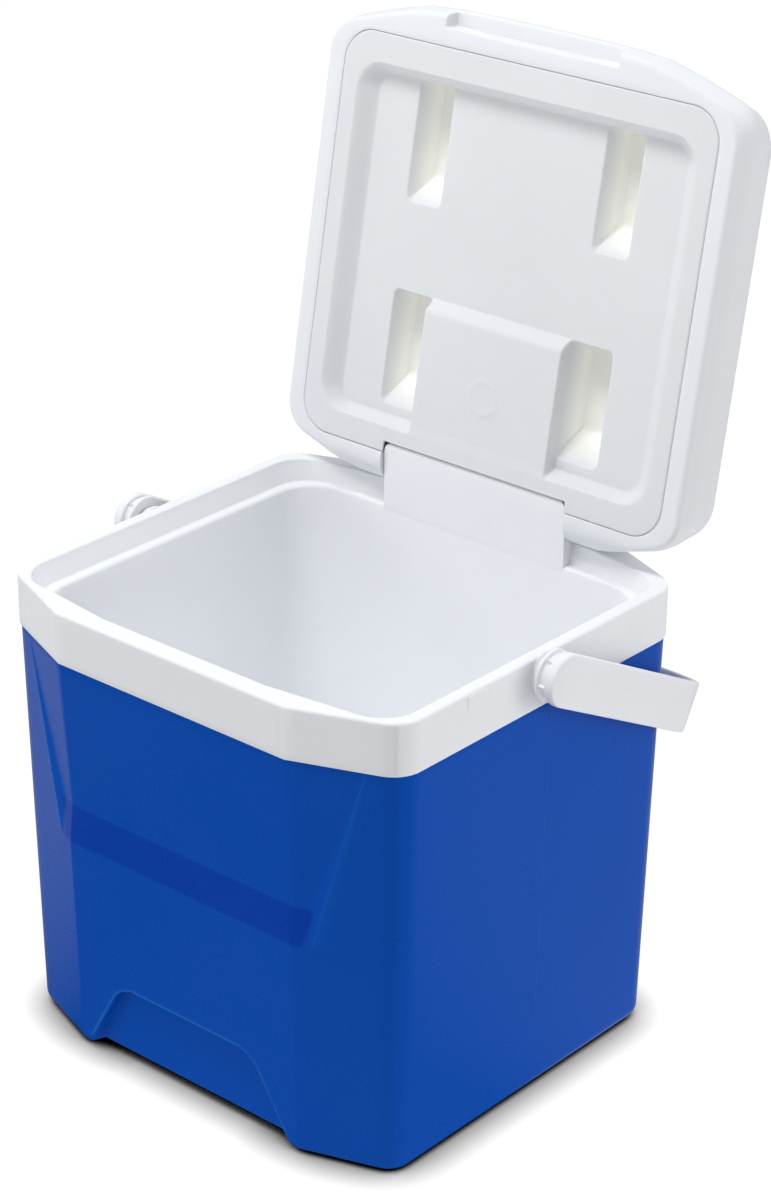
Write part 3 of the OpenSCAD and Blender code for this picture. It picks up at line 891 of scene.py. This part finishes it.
def hub():
    """Drum behind the arm's round end: thin flange, cored drum with ribs, and the pin."""
    steps = 96
    turn = np.linspace(0.0, 2 * math.pi, steps + 1)[:-1]
    away = (np.degrees(turn) - 180.0 + 540.0) % 60.0 - 30.0
    pocket = 1.6 * ease((np.abs(away) - 2.2) / 1.6)
    stations = [(HUB_IN, HUB_R - 1.2, 0), (HUB_IN, HUB_R - 0.4, 0), (HUB_IN + 0.4, HUB_R, 0),
                (HUB_IN + 1.8, HUB_R, 0), (HUB_IN + 2.2, HUB_R - 0.4, 0.6), (HUB_IN + 2.6, HUB_R - 0.5, 1),
                (ARM_OUT - ARM_T + 0.6, HUB_R - 0.5, 1)]
    rings = []
    for x, r, cored in stations:
        radius = r - pocket * cored
        rings.append(bail_to_row(np.full(steps, x), radius * np.cos(turn), radius * np.sin(turn)))
    drum = loft(rings, close_first=True, close_last=True)
    pin = []
    for x, r in ((139.0, 4.4), (139.5, 5.0), (HUB_IN + 0.5, 5.0)):
        pin.append(bail_to_row(np.full(steps, x), r * np.cos(turn), r * np.sin(turn)))
    return merge(drum, loft(pin, close_first=True, close_last=True))


hubs = hub()
bail = add_mesh("bail_band", merge(build_band(), hubs, flip_x(hubs)), BAIL, "handle")
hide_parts("handle_bail")


# ---- floor, light and camera -----------------------------------------------------------

# brightness of the floor in shiny plastic, by where it lies, and as a source of soft light
FLOOR_FRONT = 0.02
FLOOR_LEFT = 0.55
FLOOR_RIGHT = 0.5
FLOOR_BOUNCE = 1.0
FLOOR_HALF = 6.0
FLOOR_DROP = 0.0005
# width of the soft contact shadow, in metres
SHADOW = 0.03
# brightness of the sky in front and behind, and of its back as seen in shiny plastic
SKY_FRONT = 0.4
SKY_REAR = 0.68
SKY_SHINE = 0.7
# as seen by the camera, just past white
BURNT_OUT = 1.04


def toward(azimuth, elevation=0.0):
    """Unit vector; azimuth 0 looks out of the front and 90 out of the right side."""
    a = math.radians(azimuth)
    e = math.radians(elevation)
    return (math.sin(a) * math.cos(e), -math.cos(a) * math.cos(e), math.sin(e))


def facing(n, vector, azimuth, elevation=0.0):
    """Cosine between a direction socket and a fixed direction."""
    unit = n.add("ShaderNodeVectorMath", operation="NORMALIZE")
    n.link(vector, unit.inputs[0])
    dot = n.add("ShaderNodeVectorMath", operation="DOT_PRODUCT")
    n.link(unit.outputs[0], dot.inputs[0])
    dot.inputs[1].default_value = toward(azimuth, elevation)
    return dot.outputs["Value"]


def stage_material():
    """White sweep: glows evenly, shows its left and right in shiny plastic, burnt out to the camera."""
    n = MaterialNodes("floor_white")
    path = n.add("ShaderNodeLightPath").outputs
    left = n.span(facing(n, n.coord, -115.0), 0.25, 0.75, FLOOR_FRONT, FLOOR_LEFT)
    right = n.span(facing(n, n.coord, 150.0), 0.4, 0.9, 0.0, FLOOR_RIGHT)
    shine = n.math("ADD", left, right)
    contact = n.add("ShaderNodeAmbientOcclusion", samples=16, only_local=False)
    contact.inputs["Distance"].default_value = SHADOW
    seen = n.span(contact.outputs["AO"], 0.28, 0.88, 0.0, BURNT_OUT)
    glow = n.math("ADD", n.math("MULTIPLY", path["Is Glossy Ray"], shine),
                  n.math("MULTIPLY", path["Is Camera Ray"], seen))
    glow = n.math("ADD", glow, n.math("MULTIPLY", path["Is Diffuse Ray"], FLOOR_BOUNCE))
    n.bsdf.inputs["Base Color"].default_value = (0.0, 0.0, 0.0, 1.0)
    n.bsdf.inputs["Roughness"].default_value = 0.95
    n.bsdf.inputs["Specular IOR Level"].default_value = 0.0
    n.bsdf.inputs["Emission Color"].default_value = (1.0, 1.0, 1.0, 1.0)
    n.link(glow, n.bsdf.inputs["Emission Strength"])
    return n.mat


floor_mesh = bpy.data.meshes.new("floor")
floor_signs = ((-1, -1), (1, -1), (1, 1), (-1, 1))
floor_corners = [(x * FLOOR_HALF, y * FLOOR_HALF, -FLOOR_DROP) for x, y in floor_signs]
floor_mesh.from_pydata(floor_corners, [], [(0, 1, 2, 3)])
floor = bpy.data.objects.new("floor", floor_mesh)
bpy.context.scene.collection.objects.link(floor)
floor_mesh.materials.append(stage_material())


world = bpy.data.worlds.new("studio")
bpy.context.scene.world = world
world.use_nodes = True
sky = Nodes(world.node_tree)
direction = sky.add("ShaderNodeTexCoord").outputs["Generated"]
rear = facing(sky, direction, 195.0)
matt = sky.span(rear, -0.5, 0.6, SKY_FRONT, SKY_REAR)
shine = sky.span(rear, -0.35, 0.3, 0.05, SKY_SHINE)
path = sky.add("ShaderNodeLightPath").outputs
seen = sky.math("MULTIPLY", path["Is Camera Ray"], BURNT_OUT)
mirrored = sky.math("MULTIPLY", path["Is Glossy Ray"], shine)
matt = sky.math("MULTIPLY", path["Is Diffuse Ray"], matt)
strength = sky.math("ADD", sky.math("ADD", seen, mirrored), matt)
background = world.node_tree.nodes["Background"]
background.inputs["Color"].default_value = (0.97, 0.985, 1.0, 1.0)
sky.link(strength, background.inputs["Strength"])


def area_light(name, place, target, size, power):
    """Rectangular light that doesn't show in shiny plastic."""
    data = bpy.data.lights.new(name, "AREA")
    data.shape = "RECTANGLE"
    data.size = size[0]
    data.size_y = size[1]
    data.energy = power
    obj = bpy.data.objects.new(name, data)
    bpy.context.scene.collection.objects.link(obj)
    obj.location = place
    aim = Vector(target) - Vector(place)
    obj.rotation_euler = aim.to_track_quat("-Z", "Y").to_euler()
    obj.visible_glossy = False
    return obj


def studio_light(name, azimuth, elevation, far, size, power):
    """Square softbox that faces the middle of the object."""
    area_light(name, Vector(toward(azimuth, elevation)) * far, (0, 0, 0.2), (size, size), power)


studio_light("key", -50.0, 15.0, 2.4, 1.2, 12.5)
studio_light("side", 114.0, 12.0, 2.4, 1.2, 12.5)
studio_light("top", -20.0, 76.0, 2.2, 0.6, 23.0)
fill = area_light("tub_fill", (0.0, -0.09, 0.15), (0.0, 0.1, 0.17), (0.18, 0.12), 0.075)
fill.visible_camera = False

TARGET = Vector((-0.01768, 0.01389, 0.24454))
AZIMUTH = math.radians(41.636)
ELEVATION = math.radians(25.491)
ROLL = math.radians(0.112)
DISTANCE = 1.8136
SENSOR = 36.0
LENS = 95.862
SHIFT_X = 0.04255
SHIFT_Y = 0.013475

back = Vector((math.sin(AZIMUTH) * math.cos(ELEVATION), -math.cos(AZIMUTH) * math.cos(ELEVATION),
               math.sin(ELEVATION)))
right = Vector((0, 0, 1)).cross(back).normalized()
up = back.cross(right)
level = right
right = level * math.cos(ROLL) + up * math.sin(ROLL)
up = up * math.cos(ROLL) - level * math.sin(ROLL)
camera_data = bpy.data.cameras.new("camera")
camera_data.sensor_fit = "VERTICAL"
camera_data.sensor_height = SENSOR
camera_data.lens = LENS
camera_data.shift_x = SHIFT_X
camera_data.shift_y = SHIFT_Y
camera = bpy.data.objects.new("camera", camera_data)
bpy.context.scene.collection.objects.link(camera)
spin = Matrix((right, up, back)).transposed().to_4x4()
camera.matrix_world = Matrix.Translation(TARGET + back * DISTANCE) @ spin
bpy.context.scene.camera = camera
bpy.context.scene.view_settings.view_transform = "Standard"
